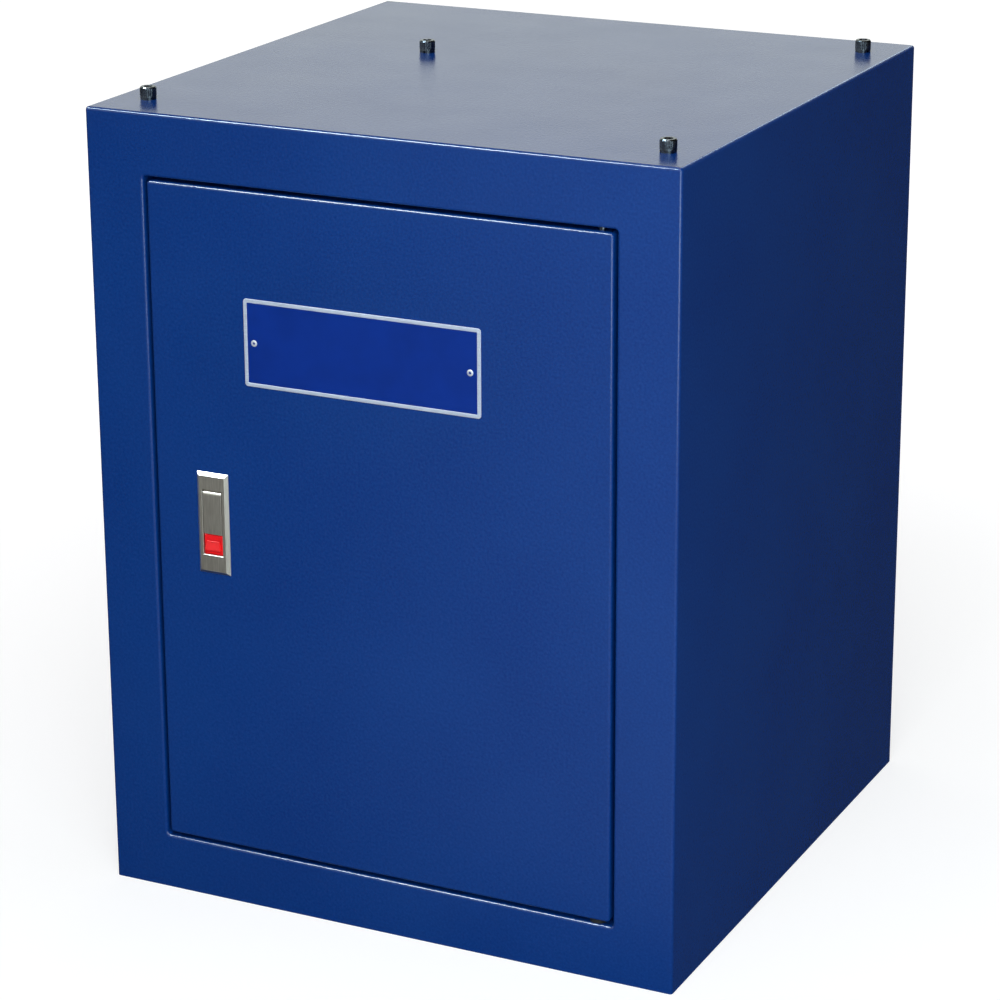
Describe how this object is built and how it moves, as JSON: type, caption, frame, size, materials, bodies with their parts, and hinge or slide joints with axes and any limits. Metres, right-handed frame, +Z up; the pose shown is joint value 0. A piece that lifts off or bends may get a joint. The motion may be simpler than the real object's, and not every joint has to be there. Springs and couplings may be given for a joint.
{
  "type": "machine stand cabinet",
  "caption": "Welded sheet-steel machine stand cabinet: one inset door on hidden pivots, flush push-release turn latch, blank nameplate and fixing screws in the top.",
  "frame": {"origin": "middle of the cabinet's footprint, on the floor", "axes": "+Z up, front with the door faces -Y, +X to the right seen from the front"},
  "size_m": [0.5, 0.5045, 0.66],
  "materials": {
    "cabinet_paint": "blue semi-gloss powder coat with fine orange peel",
    "black_oxide": "black oxide on steel screws and pins, light oil sheen",
    "zinc_steel": "bright zinc plated steel",
    "bare_steel": "ground steel",
    "satin_nickel": "satin nickel on die-cast zinc",
    "plate_enamel": "anodised aluminium plate, blue filled field and bare raised border",
    "rivet_aluminium": "plain aluminium",
    "brass": "turned brass",
    "nylon": "black moulded nylon",
    "foam_rubber": "closed-cell foam rubber strip",
    "red_plastic": "red moulded plastic"
  },
  "bodies": {
    "cabinet": {"front_frame": "cabinet_paint", "side_panel_left": "cabinet_paint", "side_panel_right": "cabinet_paint", "back_panel": "cabinet_paint", "top_panel": "cabinet_paint", "floor_pan": "cabinet_paint", "top_rail_front": "cabinet_paint", "top_rail_middle": "cabinet_paint", "top_rail_rear": "cabinet_paint", "top_weld_nuts": "zinc_steel", "top_lock_washers": "black_oxide", "top_cap_screws": "black_oxide", "door_stop_angle": "cabinet_paint", "door_seal_strip": "foam_rubber", "hinge_thrust_washer": "nylon", "hinge_pin_upper": "black_oxide", "hinge_pin_lower": "black_oxide", "hinge_boss_upper": "cabinet_paint", "hinge_boss_lower": "cabinet_paint"},
    "door": {"door_panel": "cabinet_paint", "door_stiffener_upper": "cabinet_paint", "door_stiffener_lower": "cabinet_paint", "door_bush_upper": "brass", "door_bush_lower": "brass", "nameplate": "plate_enamel", "nameplate_rivets": "rivet_aluminium", "latch_housing": "satin_nickel", "latch_clamp_plate": "zinc_steel", "latch_stud_nuts": "zinc_steel", "handle_pivot_pin": "bare_steel", "button_spring": "bare_steel"},
    "handle": {"latch_handle": "satin_nickel"},
    "button": {"release_button": "red_plastic"},
    "cam": {"cam_shaft": "zinc_steel", "latch_cam": "zinc_steel", "cam_washer": "zinc_steel", "cam_nut": "zinc_steel"}
  },
  "joints": [
    {"name": "door_swing", "type": "hinge", "parent": "cabinet", "child": "door", "pos_m": [0.185, -0.242, 0.05], "axis": [0, 0, 1], "range_deg": [0, 110]},
    {"name": "handle_lift", "type": "hinge", "parent": "door", "child": "handle", "pos_m": [-0.1455, -0.25, 0.3492], "axis": [-1, 0, 0], "range_deg": [0, 45]},
    {"name": "button_press", "type": "slide", "parent": "door", "child": "button", "axis": [0, 1, 0], "range_m": [0, 0.002], "stiffness_N_per_m": 400, "springref_m": -0.003, "deforming": ["button_spring"]},
    {"name": "cam_turn", "type": "hinge", "parent": "door", "child": "cam", "pos_m": [-0.1455, -0.2195, 0.334], "axis": [0, 1, 0], "range_deg": [0, 90]}
  ]
}
